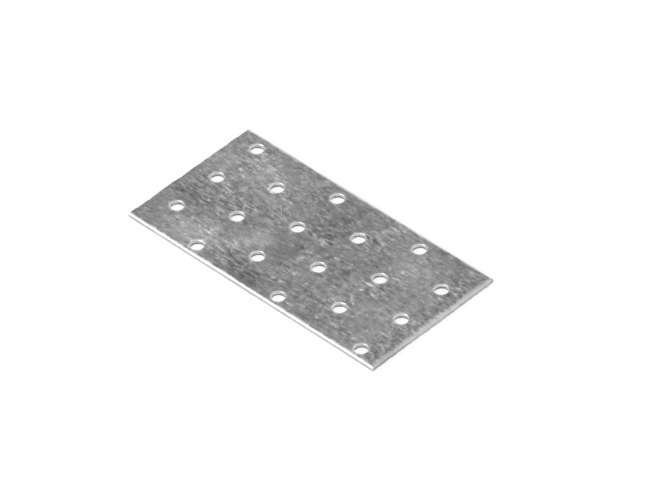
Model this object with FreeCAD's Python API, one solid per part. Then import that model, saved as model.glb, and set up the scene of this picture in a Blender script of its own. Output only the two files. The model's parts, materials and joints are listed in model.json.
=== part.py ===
import FreeCAD, Part
import math
import os
from collections import namedtuple

# Perforated mending plate: one flat piece of galvanised sheet steel, cut from strip and pierced.
# +X runs along the plate, +Y across it and +Z up, and the origin is the centre of the bottom face.
# All sizes are in millimetres.

# Section of a cut through the sheet: the blade first pulls the face down over a short width, then shears
# an upright land, and the rest of the thickness breaks away at a slant. Depths count from the pulled face.
Cut = namedtuple("Cut", "rollover_width rollover_depth land_end breakout")

# Overall size
PLATE_LENGTH = 120.0
PLATE_WIDTH = 60.0
SHEET_THICKNESS = 2.0

# Nail holes in columns across the plate. The margins are the least from a hole's centre to an edge in a
# centred pattern, and the offsets are how far off centre the strip lay in the piercing tool.
HOLE_DIAMETER = 5.0
COLUMN_PITCH = 20.0
ROW_PITCH = 20.0
END_MARGIN = 10.0
SIDE_MARGIN = 5.0
PATTERN_OFFSET_ALONG = 0.2
PATTERN_OFFSET_ACROSS = -0.8

# Pierced from the top, slit along both sides with the burr down, and cropped at the ends by one blade
# that leaves its burr down on the front end and up on the back end
HOLE_CUT = Cut(rollover_width=0.40, rollover_depth=0.25, land_end=1.08, breakout=0.18)
SIDE_CUT = Cut(rollover_width=0.90, rollover_depth=0.25, land_end=0.80, breakout=0.10)
FRONT_CUT = Cut(rollover_width=1.80, rollover_depth=0.35, land_end=1.00, breakout=0.35)
BACK_CUT = Cut(rollover_width=0.90, rollover_depth=0.30, land_end=1.00, breakout=0.35)

# Slope at which a rollover meets its land, in degrees from the face
ROLLOVER_SLOPE = 70.0

# How far a section or a piercing tool runs past the metal, and the slack that keeps a whole count whole
OVERRUN = 5.0
COUNT_SLACK = 1e-6


def vector(x, y, z):
    return FreeCAD.Vector(x, y, z)


class ShearedEdge:
    """Edges of one cut in the XZ plane, with the points where they meet the top and the bottom face.

    reach is the land's place along X, and metal is 1 where the metal lies beyond it or -1 where it lies short
    of it. The rollover is a parabola, level where it leaves the face and steep where it meets the land.
    """

    def __init__(self, reach, metal, cut, burr_up=False):
        def point(across, depth):
            height = depth if burr_up else SHEET_THICKNESS - depth
            return vector(across, 0, height)

        face_end = point(reach + metal * cut.rollover_width, 0)
        knee = point(reach + metal * cut.rollover_depth / math.tan(math.radians(ROLLOVER_SLOPE)), 0)
        land_start = point(reach, cut.rollover_depth)
        land_end = point(reach, cut.land_end)
        burr = point(reach + metal * cut.breakout, SHEET_THICKNESS)
        rollover = Part.BezierCurve()
        rollover.setPoles([face_end, knee, land_start])
        land = Part.makeLine(land_start, land_end)
        fracture = Part.makeLine(land_end, burr)
        self.edges = [rollover.toShape(), land, fracture]
        self.top, self.bottom = (burr, face_end) if burr_up else (face_end, burr)


def face_inside(edges):
    return Part.Face(Part.Wire(Part.__sortEdges__(edges)))


def sheet_section(left, right):
    """Closed section of the sheet in the XZ plane, between two sheared edges."""
    top = Part.makeLine(left.top, right.top)
    bottom = Part.makeLine(left.bottom, right.bottom)
    return face_inside(left.edges + right.edges + [top, bottom])


def section_along_plate():
    back = ShearedEdge(-PLATE_LENGTH / 2, 1, BACK_CUT, burr_up=True)
    front = ShearedEdge(PLATE_LENGTH / 2, -1, FRONT_CUT)
    return sheet_section(back, front)


def section_across_plate():
    """The slit strip's section, turned from the XZ plane to the YZ plane."""
    near = ShearedEdge(-PLATE_WIDTH / 2, 1, SIDE_CUT)
    far = ShearedEdge(PLATE_WIDTH / 2, -1, SIDE_CUT)
    section = sheet_section(near, far)
    section.rotate(vector(0, 0, 0), vector(0, 0, 1), 90)
    return section


def carried(section, direction, span):
    """A section swept straight past the metal on both sides of where it was drawn."""
    reach = span / 2 + OVERRUN
    section.translate(direction * -reach)
    return section.extrude(direction * (2 * reach))


def blank():
    """The unpierced plate: what the strip's section and the cropped ends' section have in common."""
    strip = carried(section_across_plate(), vector(1, 0, 0), PLATE_LENGTH)
    cropped = carried(section_along_plate(), vector(0, 1, 0), PLATE_WIDTH)
    return strip.common(cropped)


def piercing_tool():
    """The metal that leaves one hole, as the hole's section turned about its own axis."""
    wall = ShearedEdge(HOLE_DIAMETER / 2, 1, HOLE_CUT)
    above = vector(wall.top.x, 0, SHEET_THICKNESS + OVERRUN)
    below = vector(wall.bottom.x, 0, -OVERRUN)
    axis_top = vector(0, 0, above.z)
    axis_bottom = vector(0, 0, below.z)
    outline = [wall.top, above, axis_top, axis_bottom, below, wall.bottom]
    closing = [Part.makeLine(a, b) for a, b in zip(outline, outline[1:])]
    section = face_inside(wall.edges + closing)
    return section.revolve(vector(0, 0, 0), vector(0, 0, 1), 360)


def centred_places(span, pitch):
    """Places one pitch apart, centred on zero, as many as the span holds."""
    count = int(span / pitch + COUNT_SLACK) + 1
    return [(index - (count - 1) / 2) * pitch for index in range(count)]


def hole_centres():
    """Columns shift by a quarter of the row pitch to either side in turn, so neighbours stand half way between."""
    shift = ROW_PITCH / 4
    columns = centred_places(PLATE_LENGTH - 2 * END_MARGIN, COLUMN_PITCH)
    rows = centred_places(PLATE_WIDTH - 2 * SIDE_MARGIN - 2 * shift, ROW_PITCH)
    for index, x in enumerate(columns):
        side = 1 if index % 2 == 0 else -1
        for y in rows:
            yield vector(x + PATTERN_OFFSET_ALONG, y + side * shift + PATTERN_OFFSET_ACROSS, 0)


def mending_plate():
    tool = piercing_tool()
    return blank().cut([tool.translated(centre) for centre in hole_centres()])


def solid_of(shape):
    solid, = shape.Solids
    return solid


os.makedirs("parts", exist_ok=True)
solid_of(mending_plate()).exportStep("parts/mending_plate.step")
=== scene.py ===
import json
import math
from collections import namedtuple

import bpy
import numpy as np
from bpy.props import FloatProperty, FloatVectorProperty, IntProperty, PointerProperty
from mathutils import Matrix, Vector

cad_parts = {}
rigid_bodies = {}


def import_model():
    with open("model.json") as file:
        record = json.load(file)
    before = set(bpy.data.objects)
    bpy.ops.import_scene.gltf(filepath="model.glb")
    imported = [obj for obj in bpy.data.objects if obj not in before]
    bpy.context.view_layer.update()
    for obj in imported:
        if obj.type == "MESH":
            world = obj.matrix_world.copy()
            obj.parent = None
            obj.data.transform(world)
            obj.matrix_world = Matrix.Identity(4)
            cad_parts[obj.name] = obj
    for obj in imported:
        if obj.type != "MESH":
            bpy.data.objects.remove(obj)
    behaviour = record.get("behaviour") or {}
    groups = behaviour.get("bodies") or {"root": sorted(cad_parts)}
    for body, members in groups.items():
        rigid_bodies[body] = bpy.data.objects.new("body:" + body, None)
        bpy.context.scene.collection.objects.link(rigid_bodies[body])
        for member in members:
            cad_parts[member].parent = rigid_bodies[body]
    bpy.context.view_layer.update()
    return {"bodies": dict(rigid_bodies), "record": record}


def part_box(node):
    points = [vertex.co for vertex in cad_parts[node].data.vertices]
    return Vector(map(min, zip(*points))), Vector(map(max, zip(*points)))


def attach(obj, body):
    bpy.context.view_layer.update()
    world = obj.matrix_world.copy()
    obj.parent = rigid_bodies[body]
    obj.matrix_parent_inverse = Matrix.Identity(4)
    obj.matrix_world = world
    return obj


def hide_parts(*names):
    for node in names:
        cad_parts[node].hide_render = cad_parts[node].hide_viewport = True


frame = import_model()

bl_info = {
    "name": "Mending plate",
    "version": (1, 0, 0),
    "blender": (4, 5, 0),
    "location": "3D View > Sidebar > Plate",
    "description": "A perforated plate of galvanised sheet, and a plain pale stage for it",
    "category": "Object",
}

Cut = namedtuple("Cut", "width depth land_end breakout")
Hole = namedtuple("Hole", "x y radius")
Lamp = namedtuple("Lamp", "name azimuth elevation distance size")

# A noise pattern: length, breadth and height of its blots in mm, levels of finer detail and their share, how
# far it is bent, and its turn in degrees
Pattern = namedtuple("Pattern", "sizes detail rough distortion turn", defaults=(2, 0.5, 0, 0))

NODE = "mending_plate"
BODY = next(iter(frame["bodies"]))
MM = 0.001
WHITE = (1, 1, 1, 1)

# Slope at which a rollover meets its land
ROLLOVER_SLOPE = math.radians(70)

# Levels at which every cut is sampled, as depths below the top face in mm
DEPTHS = np.array([
    0, 0.003, 0.012, 0.03, 0.055, 0.09, 0.13, 0.175, 0.22, 0.26, 0.30, 0.35, 0.45, 0.6, 0.75, 0.88, 0.96,
    1.02, 1.08, 1.14, 1.22, 1.34, 1.48, 1.60, 1.68, 1.74, 1.80, 1.86, 1.92, 1.96, 1.985, 2.0,
]) * MM

# How the rings between a hole and its neighbours are spread, as shares of the way from the hole's rim
TOP_RINGS = np.array([0, 0.015, 0.05, 0.12, 0.27, 0.55, 1])
BOTTOM_RINGS = np.array([0, 0.05, 0.27, 1])

# Corners nearer than this are one corner. The odd part keeps round numbers off the limits of rounding.
WELD = 1e-7
WELD_SHIFT = 0.1234

# Decimals of a metre to which lines of holes are told apart
LINE_DECIMALS = 6

SHARP_ANGLE = math.radians(40)

# How strongly each of a cut's sizes wavers, and the least and greatest share of its even value
WAVER_WEIGHTS = Cut(width=1.0, depth=0.6, land_end=0.55, breakout=1.6)
WAVER_LIMITS = (0.4, 1.8)

# Random curves along an edge repeat after this many times its length. Their finest wave is this many node
# spacings long for an edge's sizes, this many nodes long for a hole's, and for an edge's brightness this many
# times as long as for its sizes.
EDGE_PERIOD = 1.1
EDGE_FINEST = 2.4
HOLE_FINEST = 4
TONE_FINEST = 3

# The torn grain is a sum of this many waves, and has its full depth beyond this share of the break
TORN_WAVES = 40
TORN_FROM = 1 / 6

# Brightness of the rollover, land and break of each kind of cut, and how far it wanders along an edge. In the
# metal itself the rollover and land are brighter than the break, but the tones also hold painted light and
# shade:
# the near slit side is painted far brighter, as if lit, than the far side of the same cut and than the ends,
# and the break inside the holes is painted darker, as if shaded.
NEAR_TONES_WITH_PAINTED_LIGHT = (0.89, 0.90, 0.50)
FAR_TONES_WITH_PAINTED_LIGHT = (0.68, 0.60, 0.45)
END_TONES_WITH_PAINTED_LIGHT = (0.53, 0.45, 0.49)
HOLE_TONES_WITH_PAINTED_LIGHT = (0.62, 0.60, 0.28)
TONE_WANDER = 0.04

# The front end is duller next to the near long side: by these shares of its brightness below the first of
# two places along Y, and not at all above the second
DULL_SHARE = (0.10, 0.24, 0.30)
DULL_FROM, DULL_TO = -0.016, -0.009

# The slit sides are bright only where they turn steep, as painted light that follows their slope: their
# brightness sets in late, by these powers of the way across the rollover, and the face's own brightness keeps
# this far clear of it
NEAR_LAG, FAR_LAG = 1.7, 1.2
SIDE_CLEAR = 0.0006

# The piercing tool sat off its die: the gap between them, and with it a hole's rollover and breakout, is
# wider by this share in one direction
UNEVEN_GAP, WIDE_GAP_TOWARDS = 0.45, math.radians(-133)

# Lighter and darker stains of the top face, places with more or fewer short dashes, and scratches and small
# marks: middle, half length and half breadth in mm, turn in degrees and strength
STAINS = (
    (-42, 16, 18, 13, 0, 0.18),
    (-45, 25, 14, 5, 0, 0.14),
    (-56, 11, 8, 8, 0, 0.16),
    (-35, -20, 23, 12, 5, 0.44),
    (-18, -10, 9, 10, 0, 0.34),
    (0, 17, 17, 16, 0, -0.22),
    (12, 25, 9, 6, 0, -0.14),
    (-3, -8, 12, 11, 0, -0.26),
    (-3, -25, 19, 8, 0, -0.32),
    (12, -17, 18, 8, 0, -0.16),
    (16, -6, 13, 9, 0, -0.20),
    (-40, -4, 8, 6, 0, -0.14),
    (36, 12, 14, 12, 0, 0.22),
    (51, 22, 10, 10, 0, 0.10),
    (-55, -8, 12, 8, 0, -0.14),
    (24, -25, 8, 5, 0, -0.16),
    (42, -18, 9, 7, 0, -0.12),
    (26, 5, 7, 7, 0, -0.12),
)
DASHED = (
    (-41, -1, 20, 12, 0, 0.55),
    (-16, -23, 18, 9, 0, 0.60),
    (17, 16, 12, 9, 0, 0.45),
    (33, -2, 9, 7, 0, 0.50),
    (-1, 9, 13, 14, 0, 0.40),
    (26, -20, 16, 8, 0, 0.30),
    (55, 17, 7, 6, 0, 0.25),
    (55, -19, 8, 8, 0, 0.20),
    (-26, 20, 8, 7, 0, -0.20),
    (37, -11, 8, 5, 0, -0.20),
    (-11, -3, 6, 7, 0, -0.15),
)
MARKS = (
    (31.5, -0.5, 7.5, 0.38, 0, 0.60),
    (-19.8, 6.0, 5.2, 0.36, -43, 0.55),
    (-46.5, 15.4, 5.2, 0.45, -4, -0.65),
    (-7.0, 20.7, 2.8, 0.55, -2, 0.60),
    (12.0, 8.5, 3.5, 0.35, 12, 0.50),
    (-30.0, 1.0, 4.0, 0.45, -6, -0.60),
    (-43.0, 2.2, 3.6, 0.65, -8, 0.55),
    (34.5, 7.6, 2.8, 0.60, 8, 0.60),
    (15.0, 18.6, 2.8, 0.90, -10, 0.50),
    (15.4, 17.2, 2.6, 0.80, -25, -0.40),
    (14.6, 12.8, 2.2, 1.30, -20, 0.40),
    (53.8, 14.6, 2.6, 1.40, 0, -0.45),
    (-13.4, 22.0, 2.6, 1.70, 0, -0.40),
    (1.9, -20.0, 1.3, 1.20, 0, 0.70),
    (5.3, -20.0, 1.3, 1.20, 0, 0.70),
    (29.0, -4.0, 1.5, 1.30, 0, 0.32),
)

# The ovals of each table are pulled out of shape by noise: length, breadth and height of its blots and its
# reach, in mm. An oval reaches this many mm below the face, and is even over this share of its size.
STAIN_WARP = ((9, 7, 9), 3.5)
DASHED_WARP = ((7, 5, 7), 3.0)
MARK_WARP = ((4, 2, 2), 0.15)
OVAL_DEPTH = 1.5
OVAL_EVEN = 0.15

# Towards the front end the top face grows duller and its dashes stronger, from the first of these places
# along X to the second
FRINGE_FROM, FRINGE_TO = 0.047, 0.055
FRINGE_TONE, FRINGE_DASHED = -0.07, 0.4

# Patterns of the zinc, and in the last four rows of the cut metal: ragged borders, lines that the blade drew
# down the land, grain of the break, and stains
PATTERNS = {
    "clouds": Pattern((34, 24, 20)),
    "gathering": Pattern((11, 7, 9)),
    "mottle": Pattern((3.6, 2.4, 2), rough=0.6),
    "clumps": Pattern((2.8, 1.8, 1), detail=1, distortion=0.4),
    "dashes": Pattern((3.6, 1.0, 1), detail=1, rough=0.4, distortion=0.6),
    "strokes": Pattern((2.1, 1.3, 1), detail=0, distortion=0.8, turn=8),
    "flecks": Pattern((1.7, 1.1, 1), detail=1, distortion=0.4),
    "web": Pattern((3.6, 2.2, 1), distortion=0.8, turn=10),
    "web_strength": Pattern((9, 6, 9), detail=1),
    "ridge": Pattern((15, 2.4, 4), detail=1, distortion=0.7, turn=8),
    "ridge_strength": Pattern((8, 5, 5), detail=0),
    "fray": Pattern((0.35, 0.35, 0.2)),
    "drag": Pattern((0.16, 0.16, 2.5), rough=0.6),
    "grain": Pattern((0.22, 0.22, 0.16), detail=3, rough=0.65),
    "stained": Pattern((2.6, 2.6, 1.2), detail=3, rough=0.6),
}

# Noise textures mostly stay this close to one half
NOISE_SPREAD = 0.25

# The two values of a pattern between which what it draws grows from nothing to full strength, or from the
# third number to the fourth where there are four. Light dashes follow the values above nought and dark ones
# those below it.
GATHERING_RAMP = (-0.4, 0.6, 0.28, 0.68)
DASH_FROM, DASH_TO = 0.12, 0.6
CLUMP_RAMP = (0.1, 0.8)
FLECK_RAMP = (0.4, 0.9)
WORM_RAMP = (-0.2, 0.5, 0.25, 1.0)
SCRATCH_RAMP = (0.1, 0.5)

# Values on either side of nought that a thin line covers
WORM_WIDTH, SCRATCH_WIDTH = 0.2, 0.05

# Strength of the mottle where there are no dashes, and its rise with them
CALM_MOTTLE, DASHED_MOTTLE = 0.7, 0.45

# Parts of a cut over which its brightness takes over from the zinc's, first faintly and then fully, and over
# which the rollover gives way to the land and the land to the break
FAINT_RAMP, ROLLED_RAMP = (-0.9, 0.0), (-0.3, 0.65)
LAND_RAMP, BREAK_RAMP = (0.96, 1.04), (1.98, 2.04)

# How strong the faint brightness is, how far the mottle changes it, and how far the last two borders fray
FAINT, FAINT_MOTTLE = 0.2, 0.12
LAND_FRAY, BREAK_FRAY = 0.05, 0.06

# Contrast of the stains, the drawn lines and the grain of the cut metal
STAIN_CONTRAST, DRAG_CONTRAST, GRAIN_CONTRAST = 0.16, 0.14, 0.3

# Depth of the relief, and each pattern's share in it
RELIEF = 0.012 * MM
ZINC_RELIEF, DRAG_RELIEF, GRAIN_RELIEF = 0.3, 0.3, 1.2

METALLIC = 0.9
LAND_ROUGHNESS, BREAK_ROUGHNESS, MOTTLE_ROUGHNESS = 0.42, 0.62, 0.05

KEY_LAMP = Lamp("key", azimuth=-20, elevation=32, distance=1.6, size=1.1)
FILL_LAMP = Lamp("fill", azimuth=135, elevation=28, distance=1.6, size=0.9)


# Settings


def length(name, description, default):
    return FloatProperty(name=name, description=description, default=default, unit="LENGTH", precision=5)


def share(name, description, default):
    return FloatProperty(name=name, description=description, default=default, subtype="FACTOR", min=0, max=2)


def angle(name, description, degrees):
    return FloatProperty(name=name, description=description, default=math.radians(degrees), unit="ROTATION")


def power(name, description, default):
    return FloatProperty(name=name, description=description, default=default, unit="POWER")


def grey(name, description, level):
    return FloatVectorProperty(
        name=name, description=description, default=(level,) * 3, subtype="COLOR", size=3, min=0, max=1)


def cut_sizes(name, description, default):
    return FloatVectorProperty(
        name=name, description=description + ": rollover width and depth, land's lower end, breakout",
        default=default, size=4, unit="LENGTH", precision=5)


class PlateSettings(bpy.types.PropertyGroup):
    """Sizes of the plate's sheared edges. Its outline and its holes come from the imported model."""

    node_spacing: length("Node spacing", "Distance between the nodes along an edge", 0.00072)
    hole_cut: cut_sizes("Hole cut", "Wall of a pierced hole", (0.00040, 0.00025, 0.00108, 0.00018))
    side_cut: cut_sizes("Side cut", "Slit long side", (0.00090, 0.00025, 0.00080, 0.00010))
    front_cut: cut_sizes("Front cut", "Cropped end, burr below", (0.00180, 0.00035, 0.00100, 0.00035))
    back_cut: cut_sizes("Back cut", "Cropped end, burr on top", (0.00090, 0.00030, 0.00100, 0.00035))
    waver: share("Waver", "How far rollovers and lands wander from their even width", 0.16)
    tear: length("Tear", "Depth of the torn grain in the broken part of a cut", 0.00005)
    seed: IntProperty(name="Seed", description="Start of the random wander", default=7)


class FinishSettings(bpy.types.PropertyGroup):
    """Colour, contrasts and roughness of the zinc."""

    zinc: grey("Zinc", "Dull zinc of the faces", 0.250)
    clouds: share("Clouds", "Contrast of the large soft patches", 0.18)
    mottle: share("Mottle", "Contrast of the small blotches", 0.36)
    dashes: share("Dashes", "Contrast of the short dashes along the plate", 0.35)
    strokes: share("Strokes", "Contrast of the short blunt strokes", 0.25)
    worms: share("Worms", "Contrast of the light crooked lines", 0.26)
    clumps: share("Clumps", "Contrast of the small dark clumps", 0.26)
    flecks: share("Flecks", "Contrast of the small light flecks", 0.40)
    scratches: share("Scratches", "Contrast of the thin scratches", 0.45)
    roughness: share("Roughness", "Roughness of the zinc", 0.46)


class StageSettings(bpy.types.PropertyGroup):
    """Floor, light and camera."""

    floor_size: length("Floor size", "Side of the square floor", 8.0)
    floor: grey("Floor", "Colour of the floor", 0.90)
    floor_glow: share("Floor glow", "Share of plain white that the camera and gloss see in the floor", 0.88)
    world: share("World", "Strength of the even light from all round", 0.85)
    key: power("Key", "Power of the large front lamp", 20)
    fill: power("Fill", "Power of the lamp behind the plate on the right", 2.0)
    azimuth: angle("Azimuth", "Turn of the camera round the plate", 46.658)
    elevation: angle("Elevation", "Height of the camera over the floor", 42.208)
    roll: angle("Roll", "Tilt of the camera", -3.533)
    distance: length("Distance", "From the camera to the plate", 2.300011)
    pan: FloatVectorProperty(
        name="Pan", description="Camera's shift to its right and up", default=(0.008019, 0.000975), size=2,
        unit="LENGTH", precision=5)
    focal_length: FloatProperty(name="Focal length", description="Lens in mm", default=357.29, unit="CAMERA")


# Cuts


def wander(rng, along, period, finest):
    """A smooth random curve of spread 1: a sum of sines that fit the period a whole number of times.

    Sine k has k waves in the period and a weight of one over the root of k, down to the finest wave.
    """
    k = np.arange(1, max(2, int(period / finest)) + 1)
    weight = rng.normal(size=k.size) / np.sqrt(k)
    phase = rng.uniform(0, 2 * np.pi, k.size)
    curve = np.sin(2 * np.pi * np.outer(along / period, k) + phase) @ weight
    return curve / max(curve.std(), 1e-9)


def torn_grain(rng, along, period, depth, finest):
    """A random relief between 0 and 1 on a grid of depth by distance along the edge.

    It is a sum of plane waves in random directions, whole waves in the period, squeezed into 0 to 1 by a
    sine.
    """
    k = np.round(rng.uniform(-1, 1, TORN_WAVES) * period / finest) / period
    q = rng.uniform(-1, 1, TORN_WAVES) / finest
    phase = rng.uniform(0, 2 * np.pi, TORN_WAVES)
    turns = 2 * np.pi * (along[None, :, None] * k + depth[:, None, None] * q) + phase
    relief = np.sin(turns).sum(-1) / math.sqrt(TORN_WAVES / 2)
    return 0.5 + 0.5 * np.sin(relief)


def cut_wall(cut, depth, thickness, grain, tear, lag):
    """How far a cut's wall lies inside the nominal edge, and which part of the cut it is, at each depth.

    The rollover is the curve (1 - s)^2 width + 2 s (1 - s) knee, where s is the root of depth over rollover
    depth. The land has no offset. Below its end the wall leans in evenly to the breakout, plus the torn
    grain. The part runs from 0 to 1 over the rollover's width, raised to the power lag, to 2 over the land
    and to 3 over the break.
    """
    s = np.sqrt(np.clip(depth / cut.depth, 0, 1))
    knee = cut.depth / math.tan(ROLLOVER_SLOPE)
    rolled = (1 - s) ** 2 * cut.width + 2 * s * (1 - s) * knee
    land = np.clip((depth - cut.depth) / (cut.land_end - cut.depth), 0, 1)
    broken = np.clip((depth - cut.land_end) / (thickness - cut.land_end), 0, 1)
    torn = tear * grain * np.minimum(1, broken / TORN_FROM)
    return rolled + cut.breakout * broken + torn, (1 - rolled / cut.width) ** lag + land + broken


class Shears:
    """Makes walls and tones that wander along their edge, from one stream of random numbers."""

    def __init__(self, settings, thickness):
        self.rng = np.random.default_rng(settings.seed)
        self.waver = settings.waver
        self.tear = settings.tear
        self.thickness = thickness

    def wall(self, sizes, along, period, finest, depth=DEPTHS, gap=1.0, lag=1.0):
        """Offset and part of a cut on a grid of depth by distance along the edge.

        Each of its four sizes wanders on its own about its even value. Width and breakout grow with the gap.
        """
        cut = Cut(*[
            size * np.clip(1 + weight * self.waver * wander(self.rng, along, period, finest), *WAVER_LIMITS)
            for size, weight in zip(sizes, WAVER_WEIGHTS)])
        cut = cut._replace(width=cut.width * gap, breakout=cut.breakout * gap)
        grain = torn_grain(self.rng, along, period, depth, finest)
        return cut_wall(cut, depth[:, None], self.thickness, grain, self.tear, lag)

    def toned(self, tones, along, period, finest):
        """The three tones along an edge, wandering together about their even values."""
        return np.multiply.outer(1 + TONE_WANDER * wander(self.rng, along, period, finest), tones)


# Grids


def midway(places):
    return [(a + b) / 2 for a, b in zip(places, places[1:])]


def between(lines, spacing):
    """Places along an axis through all the lines, evenly spaced between each two, and each line's index."""
    counts = [max(2, round((b - a) / spacing)) for a, b in zip(lines, lines[1:])]
    runs = [np.linspace(a, b, n, endpoint=False) for a, b, n in zip(lines, lines[1:], counts)]
    return np.append(np.concatenate(runs), lines[-1]), np.concatenate([[0], np.cumsum(counts)])


def stretched(places, lines, low, high):
    """Places between the first and last inner line stay. The outer ones are scaled to end at low and high."""
    first, last = lines[1], lines[-2]
    below = np.minimum(places - first, 0) * (first - low) / (first - lines[0])
    above = np.maximum(places - last, 0) * (high - last) / (lines[-1] - last)
    return np.clip(places, first, last) + below + above


def rim_of(grid, i0, i1, j0, j1):
    """Nodes round a rectangle of the grid's last three axes, anticlockwise from its lowest corner."""
    return np.concatenate([
        grid[..., i0:i1, j0, :], grid[..., i1, j0:j1, :],
        grid[..., i1:i0:-1, j1, :], grid[..., i0, j1:j0:-1, :]], axis=-2)


def nail_holes():
    """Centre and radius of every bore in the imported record."""
    bores = [m for m in frame["record"]["mounts"] if m["kind"] == "bore"]
    return [Hole(m["pos_m"][0], m["pos_m"][1], m["dims"]["r_mm"] * MM) for m in bores]


class Cells:
    """The plate's plan in rectangles, one round each hole, whose sides run midway between neighbouring holes.

    x_lines and y_lines are the places of all sides along the two axes, and x and y the places of all nodes.
    """

    def __init__(self, holes, low, high, spacing):
        columns = sorted({round(hole.x, LINE_DECIMALS) for hole in holes})
        rows = [sorted(hole.y for hole in holes if abs(hole.x - x) < WELD) for x in columns]
        self.borders = [[low.y, *[round(y, LINE_DECIMALS) for y in midway(row)], high.y] for row in rows]
        self.x_lines = [low.x, *midway(columns), high.x]
        self.y_lines = sorted({y for borders in self.borders for y in borders})
        self.x, self.x_index = between(self.x_lines, spacing)
        self.y, y_index = between(self.y_lines, spacing)
        self.y_index = dict(zip(self.y_lines, y_index))

    def around(self, hole):
        """Node numbers of the sides of a hole's rectangle: two along X, then two along Y."""
        column = np.searchsorted(self.x_lines, hole.x) - 1
        borders = self.borders[column]
        row = np.searchsorted(borders, hole.y) - 1
        return *self.x_index[column:column + 2], *[self.y_index[y] for y in borders[row:row + 2]]


class Sheet:
    """Grids of points collected into one closed mesh, with two attributes on every face's corners.

    cut_part says which part of a cut a corner lies on: up to 1 the rollover, to 2 the land and to 3 the
    break. On a face it is below 0. cut_tones holds the brightness of the rollover, the
    land and the break, with painted light and shade by the way each cut faces.
    """

    def __init__(self):
        self.points, self.parts, self.tones, self.quads = [], [], [], []
        self.count = 0

    def add(self, points, parts, tones, closed=True):
        """Joins row i to row i + 1 and column j to column j + 1, and the last column to the first if closed.

        tones are three values, or three for each column.
        """
        rows, columns = parts.shape
        index = self.count + np.arange(rows * columns).reshape(rows, columns)
        here, after = (index, np.roll(index, -1, axis=1)) if closed else (index[:, :-1], index[:, 1:])
        quads = np.stack([here[:-1], here[1:], after[1:], after[:-1]], -1).reshape(-1, 4)
        self.points.append(points.reshape(-1, 3))
        self.parts.append(parts.ravel())
        self.tones.append(np.broadcast_to(tones, parts.shape + (3,)).reshape(-1, 3))
        self.quads.append(quads)
        self.count += rows * columns

    def mesh(self, name):
        points, quads = np.concatenate(self.points), np.concatenate(self.quads)
        cells = np.round(points / WELD + WELD_SHIFT).astype(np.int64)
        _, first, welded = np.unique(cells, axis=0, return_index=True, return_inverse=True)
        corners = welded.reshape(-1)[quads]
        made = bpy.data.meshes.new(name)
        made.vertices.add(len(first))
        made.vertices.foreach_set("co", points[first].astype(np.float32).ravel())
        made.loops.add(corners.size)
        made.loops.foreach_set("vertex_index", corners.astype(np.int32).ravel())
        made.polygons.add(len(corners))
        made.polygons.foreach_set("loop_start", np.arange(0, corners.size, 4, dtype=np.int32))
        parts = np.concatenate(self.parts)[quads].astype(np.float32)
        made.attributes.new("cut_part", "FLOAT", "CORNER").data.foreach_set("value", parts.ravel())
        tones = np.concatenate(self.tones)[quads].astype(np.float32)
        made.attributes.new("cut_tones", "FLOAT_VECTOR", "CORNER").data.foreach_set("vector", tones.ravel())
        made.update(calc_edges=True)
        made.validate()
        made.shade_smooth()
        made.set_sharp_from_angle(angle=SHARP_ANGLE)
        return made


# Plate


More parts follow.
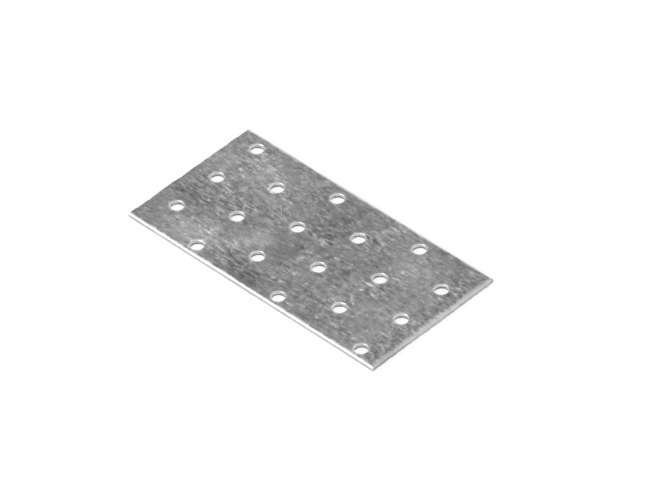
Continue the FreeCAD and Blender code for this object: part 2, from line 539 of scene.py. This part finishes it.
class PlateSheet(Sheet):
    """The whole plate as one closed surface.

    The plan is the grid of cells. At each depth its outer lines move in by the offset of the side's or the
    end's cut, so the wall is that outline at every depth. Round each hole the faces are rings that blend from
    the hole's rim to the outline of its cell.
    """

    def __init__(self, settings):
        super().__init__()
        self.settings = settings
        self.low, self.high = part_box(NODE)
        self.shears = Shears(settings, self.high.z - self.low.z)
        holes = nail_holes()
        cells = Cells(holes, self.low, self.high, settings.node_spacing)
        plan = self.add_edges(cells)
        for hole in holes:
            cell = cells.around(hole)
            self.add_hole(hole, rim_of(plan[0], *cell)[:, :2], rim_of(plan[-1], *cell)[:, :2])

    def add_edges(self, cells):
        """Adds the walls of the four edges. Returns the plan by level, node along X and node along Y."""
        settings, low, high, xs, ys = self.settings, self.low, self.high, cells.x, cells.y
        wall, toned = self.shears.wall, self.shears.toned
        period_x, period_y = (high.x - low.x) * EDGE_PERIOD, (high.y - low.y) * EDGE_PERIOD
        finest = EDGE_FINEST * settings.node_spacing
        near, near_part = wall(settings.side_cut, xs, period_x, finest, lag=NEAR_LAG)
        far, far_part = wall(settings.side_cut, xs, period_x, finest, lag=FAR_LAG)
        front, front_part = wall(settings.front_cut, ys, period_y, finest)
        back, back_part = wall(settings.back_cut, ys, period_y, finest, depth=self.shears.thickness - DEPTHS)

        plan = np.empty((DEPTHS.size, xs.size, ys.size, 3))
        plan[..., 0] = stretched(xs[:, None], cells.x_lines, low.x + back[:, None], high.x - front[:, None])
        plan[..., 1] = stretched(ys, cells.y_lines, low.y + near[..., None], high.y - far[..., None])
        plan[..., 2] = (high.z - DEPTHS)[:, None, None]

        # Each edge's tones, with painted light and shade by the way it faces
        near_tones = toned(NEAR_TONES_WITH_PAINTED_LIGHT, xs, period_x, TONE_FINEST * finest)
        front_tones = toned(END_TONES_WITH_PAINTED_LIGHT, ys, period_y, TONE_FINEST * finest)
        far_tones = toned(FAR_TONES_WITH_PAINTED_LIGHT, xs, period_x, TONE_FINEST * finest)
        back_tones = toned(END_TONES_WITH_PAINTED_LIGHT, ys, period_y, TONE_FINEST * finest)
        dull = np.multiply.outer(np.clip((DULL_TO - ys) / (DULL_TO - DULL_FROM), 0, 1), DULL_SHARE)
        self.add(plan[:, :, 0], near_part, near_tones, closed=False)
        self.add(plan[:, -1, :], front_part, front_tones * (1 - dull), closed=False)
        self.add(plan[:, ::-1, -1], far_part[:, ::-1], far_tones[::-1], closed=False)
        self.add(plan[:, 0, ::-1], back_part[:, ::-1], back_tones[::-1], closed=False)
        return plan

    def add_hole(self, hole, top, bottom):
        """Adds a hole's wall and the rings of both faces, out to the top and bottom outline of its cell.

        Each level of the wall is a circle about the hole's centre, of the hole's radius plus the cut's
        offset, with a node in the direction of every node of the cell's outline.
        """
        centre = np.array([hole.x, hole.y])
        turn = np.arctan2(*(top - centre).T[::-1])
        girth = 2 * np.pi * hole.radius
        gap = 1 + UNEVEN_GAP * np.cos(turn - WIDE_GAP_TOWARDS)
        offset, part = self.shears.wall(
            self.settings.hole_cut, turn * hole.radius, girth, HOLE_FINEST * girth / turn.size, gap=gap)
        ring = centre + (hole.radius + offset)[..., None] * np.stack([np.cos(turn), np.sin(turn)], -1)
        heights = np.broadcast_to((self.high.z - DEPTHS)[:, None, None], ring.shape[:2] + (1,))
        self.add(np.concatenate([ring, heights], -1)[::-1], part[::-1], HOLE_TONES_WITH_PAINTED_LIGHT)
        self.add_rings(ring[0], top, TOP_RINGS, upward=True)
        self.add_rings(ring[-1], bottom, BOTTOM_RINGS, upward=False)

    def add_rings(self, rim, outline, shares, upward):
        """Adds the rings from a hole's rim to its cell's outline: each node slides along its own ray.

        A face's cut part is the distance in mm, as a negative number, to the nearest rollover on that face.
        """
        settings, low, high = self.settings, self.low, self.high
        nodes = rim + (outline - rim) * shares[:, None, None]
        x, y = nodes[..., 0], nodes[..., 1]
        if upward:
            side = settings.side_cut[0] - SIDE_CLEAR
            gaps = [np.linalg.norm(nodes - rim, axis=-1), high.x - x - settings.front_cut[0],
                    y - low.y - side, high.y - y - side]
        else:
            gaps = [x - low.x - settings.back_cut[0]]
        clear = -np.maximum(np.min(gaps, axis=0), 0) / MM
        height = high.z if upward else low.z
        points = np.concatenate([nodes, np.full(nodes.shape[:2] + (1,), height)], -1)
        if upward:
            points, clear = points[::-1], clear[::-1]
        self.add(points, clear, HOLE_TONES_WITH_PAINTED_LIGHT)


# Materials


class Graph:
    """Short names for building the nodes of a material or a world. Values are numbers, colours or outputs."""

    def __init__(self, owner):
        owner.use_nodes = True
        self.tree = owner.node_tree
        self.tree.nodes.clear()

    def outputs(self, kind, inputs, **settings):
        """All outputs of a new node with these settings and inputs."""
        made = self.tree.nodes.new("ShaderNode" + kind)
        for key, value in settings.items():
            setattr(made, key, value)
        for key, value in inputs.items():
            if isinstance(value, bpy.types.NodeSocket):
                self.tree.links.new(value, made.inputs[key])
            else:
                made.inputs[key].default_value = value
        return made.outputs

    def node(self, kind, inputs, output=0, **settings):
        return self.outputs(kind, inputs, **settings)[output]

    def finish(self, surface, kind="OutputMaterial"):
        self.outputs(kind, {"Surface": surface})

    def math(self, operation, a, b=0.0, c=0.0):
        return self.node("Math", {0: a, 1: b, 2: c}, operation=operation)

    def vector_math(self, operation, a, b=(0, 0, 0), c=(0, 0, 0), output="Vector"):
        return self.node("VectorMath", {0: a, 1: b, 2: c}, output, operation=operation)

    def mix(self, factor, a, b):
        return self.node("Mix", {"Factor": factor, "A": a, "B": b}, data_type="FLOAT")

    def mix_colour(self, factor, a, b):
        """The colour sockets of a Mix node share their names with others, so they go by number."""
        return self.node("Mix", {0: factor, 6: a, 7: b}, 2, data_type="RGBA")

    def ramp(self, value, low, high, start=0.0, end=1.0):
        """start below low, end above high, and a smooth step between."""
        return self.node(
            "MapRange", {"Value": value, "From Min": low, "From Max": high, "To Min": start, "To Max": end},
            interpolation_type="SMOOTHSTEP")

    def summed(self, start, *terms):
        """start plus every term's value times its weight."""
        for value, weight in terms:
            start = self.math("MULTIPLY_ADD", value, weight, start)
        return start

    def scaled(self, place, sizes, turn=0.0):
        """Coordinates in which one unit is the given length, breadth and height in mm, turned about Z."""
        turned = self.node("Mapping", {"Vector": place, "Rotation": (0, 0, turn)})
        return self.node("Mapping", {"Vector": turned, "Scale": [1 / (size * MM) for size in sizes]})

    def noise(self, place, pattern):
        """Fractal noise spread about zero, mostly within -1 and 1."""
        value = self.node("TexNoise", {
            "Vector": self.scaled(place, pattern.sizes, math.radians(pattern.turn)), "Scale": 1.0,
            "Detail": pattern.detail, "Roughness": pattern.rough, "Distortion": pattern.distortion})
        return self.node("MapRange", {
            "Value": value, "From Min": 0.5 - NOISE_SPREAD, "From Max": 0.5 + NOISE_SPREAD,
            "To Min": -1.0, "To Max": 1.0}, clamp=False)

    def warped(self, place, sizes, reach):
        """Coordinates shifted along X and Y, up to reach in mm, by smooth noise with blots of the sizes."""
        drift = self.node(
            "TexNoise", {"Vector": self.scaled(place, sizes), "Scale": 1.0, "Detail": 3.0}, "Color")
        centred = self.vector_math("SUBTRACT", drift, (0.5, 0.5, 0.5))
        most = reach * MM / NOISE_SPREAD
        return self.vector_math("MULTIPLY_ADD", centred, (most, most, 0), place)

    def thin_lines(self, value, width):
        """1 along the lines where a value is nought, and 0 where it is more than width away from that."""
        return self.ramp(self.math("ABSOLUTE", value), 0.0, width, 1.0, 0.0)

    def ovals(self, place, table, height):
        """Sum of soft ovals on the top face, each its strength in the middle and nothing beyond its sizes."""
        total = 0.0
        for x, y, half_length, half_breadth, turn, strength in table:
            moved = self.vector_math("SUBTRACT", place, (x * MM, y * MM, height))
            local = self.scaled(moved, (half_length, half_breadth, OVAL_DEPTH), -math.radians(turn))
            away = self.vector_math("LENGTH", local, output="Value")
            total = self.math("ADD", self.ramp(away, OVAL_EVEN, 1.0, strength, 0.0), total)
        return total


def opaque(rgb):
    return (*rgb, 1.0)


def zinc_tone(g, place, noise, settings):
    """Brightness of the zinc about 1: e to the power of the sum of all its stains, blotches and fine lines.

    Dashes and strokes gather in places and leave calm metal between them, and the blotches follow them.
    """
    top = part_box(NODE)[1].z
    stains = g.ovals(g.warped(place, *STAIN_WARP), STAINS, top)
    dashed = g.ovals(g.warped(place, *DASHED_WARP), DASHED, top)
    marks = g.ovals(g.warped(place, *MARK_WARP), MARKS, top)
    fringe = g.ramp(g.node("SeparateXYZ", {"Vector": place}), FRINGE_FROM, FRINGE_TO)
    gathered = g.ramp(noise["gathering"], *GATHERING_RAMP)
    busy = g.math("ADD", dashed, g.summed(gathered, (fringe, FRINGE_DASHED)))
    livelier = g.summed(CALM_MOTTLE, (busy, DASHED_MOTTLE))
    light_dashes = g.ramp(noise["dashes"], DASH_FROM, DASH_TO)
    dark_dashes = g.ramp(noise["dashes"], -DASH_FROM, -DASH_TO)
    dashes = g.math("SUBTRACT", light_dashes, dark_dashes)
    clumps = g.ramp(noise["clumps"], *CLUMP_RAMP)
    web, ridge = g.thin_lines(noise["web"], WORM_WIDTH), g.thin_lines(noise["ridge"], SCRATCH_WIDTH)
    return g.math("EXPONENT", g.summed(
        g.math("ADD", stains, marks),
        (fringe, FRINGE_TONE),
        (noise["clouds"], settings.clouds),
        (g.math("MULTIPLY", noise["mottle"], livelier), settings.mottle),
        (g.math("MULTIPLY", dashes, busy), settings.dashes),
        (g.math("MULTIPLY", noise["strokes"], busy), settings.strokes),
        (g.math("MULTIPLY", web, g.ramp(noise["web_strength"], *WORM_RAMP)), settings.worms),
        (g.math("MULTIPLY", clumps, busy), -settings.clumps),
        (g.ramp(noise["flecks"], *FLECK_RAMP), settings.flecks),
        (g.math("MULTIPLY", ridge, g.ramp(noise["ridge_strength"], *SCRATCH_RAMP)), settings.scratches),
    ))


def zinc_material(settings):
    """Galvanised sheet: dull mottled zinc on the faces, bright over rollovers, uncoated metal in the cuts.

    The cuts' tones also hold painted light and shade by the way each cut faces.
    """
    material = bpy.data.materials.new("galvanised_steel")
    g = Graph(material)
    place = g.node("TexCoord", {}, "Object")
    part = g.node("Attribute", {}, "Fac", attribute_name="cut_part")
    tones = g.outputs("SeparateXYZ", {0: g.node("Attribute", {}, "Vector", attribute_name="cut_tones")})
    noise = {name: g.noise(place, pattern) for name, pattern in PATTERNS.items()}

    # How far each part of a cut holds, with wandering borders
    # The faint brightness carries the cut's tones, painted light and shade included, a little way onto the
    # face
    faint = g.math("MULTIPLY", g.ramp(part, *FAINT_RAMP), g.summed(FAINT, (noise["mottle"], FAINT_MOTTLE)))
    rolled = g.math("MAXIMUM", g.ramp(part, *ROLLED_RAMP), faint)
    on_land = g.ramp(g.summed(part, (noise["fray"], LAND_FRAY)), *LAND_RAMP)
    broken = g.ramp(g.summed(part, (noise["fray"], BREAK_FRAY)), *BREAK_RAMP)

    # The cut's tones mixed by part: the metal's own brightness with painted light and shade by the way each
    # cut faces
    bare_and_painted_light = g.mix(broken, g.mix(on_land, tones[0], tones[1]), tones[2])
    bare_and_painted_light_colour = g.node("CombineColor", {0: bare_and_painted_light, 1: bare_and_painted_light, 2: bare_and_painted_light})
    stained = g.summed(1.0, (noise["stained"], STAIN_CONTRAST))
    dragged = g.summed(stained, (noise["drag"], DRAG_CONTRAST))
    grainy = g.summed(stained, (noise["grain"], GRAIN_CONTRAST))
    tone = g.mix(rolled, zinc_tone(g, place, noise, settings), g.mix(broken, dragged, grainy))
    base = g.mix_colour(rolled, opaque(settings.zinc), bare_and_painted_light_colour)
    colour = g.vector_math("MULTIPLY", base, tone)

    zinc_roughness = g.summed(settings.roughness, (noise["mottle"], MOTTLE_ROUGHNESS))
    roughness = g.mix(rolled, zinc_roughness, g.mix(broken, LAND_ROUGHNESS, BREAK_ROUGHNESS))
    zinc_relief = g.math("MULTIPLY", g.math("ADD", noise["strokes"], noise["dashes"]), ZINC_RELIEF)
    drag_relief = g.math("MULTIPLY", noise["drag"], DRAG_RELIEF)
    grain_relief = g.math("MULTIPLY", noise["grain"], GRAIN_RELIEF)
    relief = g.mix(rolled, zinc_relief, g.mix(broken, drag_relief, grain_relief))
    normal = g.node("Bump", {"Height": relief, "Strength": 1.0, "Distance": RELIEF})
    g.finish(g.node("BsdfPrincipled", {
        "Base Color": colour, "Metallic": METALLIC, "Roughness": roughness, "Normal": normal}))
    return material


def seen_directly(g):
    """1 for what the camera sees, directly or in gloss or glass, and 0 for light on a matt surface."""
    path = g.outputs("LightPath", {})
    seen = g.math("MAXIMUM", path["Is Camera Ray"], path["Is Glossy Ray"])
    return g.math("MAXIMUM", seen, path["Is Transmission Ray"])


def floor_material(settings):
    """Pale matt floor that shows mostly plain white, with the plate's shadow left in the rest."""
    material = bpy.data.materials.new("pale_floor")
    g = Graph(material)
    matt = g.node("BsdfDiffuse", {"Color": opaque(settings.floor)})
    white = g.node("Emission", {"Color": WHITE, "Strength": 1.0})
    glow = g.math("MULTIPLY", seen_directly(g), settings.floor_glow)
    g.finish(g.node("MixShader", {0: glow, 1: matt, 2: white}))
    return material


# Stage


def add_to_scene(name, data):
    thing = bpy.data.objects.new(name, data)
    bpy.context.scene.collection.objects.link(thing)
    return thing


def facing(azimuth, elevation, roll=0.0):
    """Right, up and back of what looks at the plate: a turn about Z, a tilt, and a roll about its sight."""
    level = math.cos(elevation)
    back = np.array([math.sin(azimuth) * level, -math.cos(azimuth) * level, math.sin(elevation)])
    side = np.array([math.cos(azimuth), math.sin(azimuth), 0])
    rise = np.cross(back, side)
    right = side * math.cos(roll) + rise * math.sin(roll)
    up = rise * math.cos(roll) - side * math.sin(roll)
    return right, up, back


def set_place(thing, right, up, back, at):
    thing.matrix_world = Matrix([*zip(right, up, back, at), (0, 0, 0, 1)])


def add_camera(settings):
    """A camera that looks at the middle of the holes, shifted by the pan."""
    right, up, back = facing(settings.azimuth, settings.elevation, settings.roll)
    middle = np.mean([(hole.x, hole.y, 0) for hole in nail_holes()], axis=0)
    at = middle + back * settings.distance + right * settings.pan[0] + up * settings.pan[1]
    data = bpy.data.cameras.new("camera")
    data.lens = settings.focal_length
    camera = add_to_scene("camera", data)
    set_place(camera, right, up, back, at)
    bpy.context.scene.camera = camera


def add_lamp(lamp, watts):
    """A square lamp that looks at the middle of the plate."""
    right, up, back = facing(math.radians(lamp.azimuth), math.radians(lamp.elevation))
    data = bpy.data.lights.new(lamp.name, "AREA")
    data.size = lamp.size
    data.energy = watts
    set_place(add_to_scene(lamp.name, data), right, up, back, back * lamp.distance)


def add_floor(settings):
    half = settings.floor_size / 2
    corners = [(-half, -half, 0), (half, -half, 0), (half, half, 0), (-half, half, 0)]
    made = bpy.data.meshes.new("floor_mesh")
    made.from_pydata(corners, [], [(0, 1, 2, 3)])
    made.materials.append(floor_material(settings))
    floor = add_to_scene("floor", made)


def set_world(settings):
    """Even light from all round, which the camera, gloss and glass see as plain white."""
    world = bpy.data.worlds.new("plain_studio")
    g = Graph(world)
    strength = g.mix(seen_directly(g), settings.world, 1.0)
    g.finish(g.node("Background", {"Color": WHITE, "Strength": strength}), "OutputWorld")
    bpy.context.scene.world = world


# Operators


class OBJECT_OT_mending_plate(bpy.types.Operator):
    """Make the perforated plate with its sheared edges and zinc finish"""

    bl_idname = "object.mending_plate"
    bl_label = "Mending plate"

    def execute(self, context):
        mesh = PlateSheet(context.scene.mending_plate).mesh("mending_plate_mesh")
        mesh.materials.append(zinc_material(context.scene.zinc_finish))
        plate = add_to_scene("pierced_plate", mesh)
        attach(plate, BODY)
        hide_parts(NODE)
        return {"FINISHED"}


class OBJECT_OT_plate_stage(bpy.types.Operator):
    """Make the pale floor, the soft lamps, the even light and the camera"""

    bl_idname = "object.plate_stage"
    bl_label = "Stage"

    def execute(self, context):
        settings = context.scene.plate_stage
        add_floor(settings)
        set_world(settings)
        add_camera(settings)
        add_lamp(KEY_LAMP, settings.key)
        add_lamp(FILL_LAMP, settings.fill)
        context.scene.view_settings.view_transform = "Standard"
        return {"FINISHED"}


class VIEW3D_PT_mending_plate(bpy.types.Panel):
    """Lists the operators and their settings"""

    bl_idname = "VIEW3D_PT_mending_plate"
    bl_label = "Mending plate"
    bl_space_type = "VIEW_3D"
    bl_region_type = "UI"
    bl_category = "Plate"

    def draw(self, context):
        for operator, groups in STEPS:
            box = self.layout.box()
            box.operator(operator)
            for group in groups:
                for name in GROUPS[group].__annotations__:
                    box.prop(getattr(context.scene, group), name)


STEPS = (
    ("object.mending_plate", ("mending_plate", "zinc_finish")),
    ("object.plate_stage", ("plate_stage",)),
)
GROUPS = {"mending_plate": PlateSettings, "zinc_finish": FinishSettings, "plate_stage": StageSettings}
CLASSES = (*GROUPS.values(), OBJECT_OT_mending_plate, OBJECT_OT_plate_stage, VIEW3D_PT_mending_plate)


def register():
    for cls in CLASSES:
        bpy.utils.register_class(cls)
    for name, group in GROUPS.items():
        setattr(bpy.types.Scene, name, PointerProperty(type=group))


def unregister():
    for name in GROUPS:
        delattr(bpy.types.Scene, name)
    for cls in reversed(CLASSES):
        bpy.utils.unregister_class(cls)


def main():
    register()
    bpy.ops.object.mending_plate()
    bpy.ops.object.plate_stage()


if __name__ == "__main__":
    main()
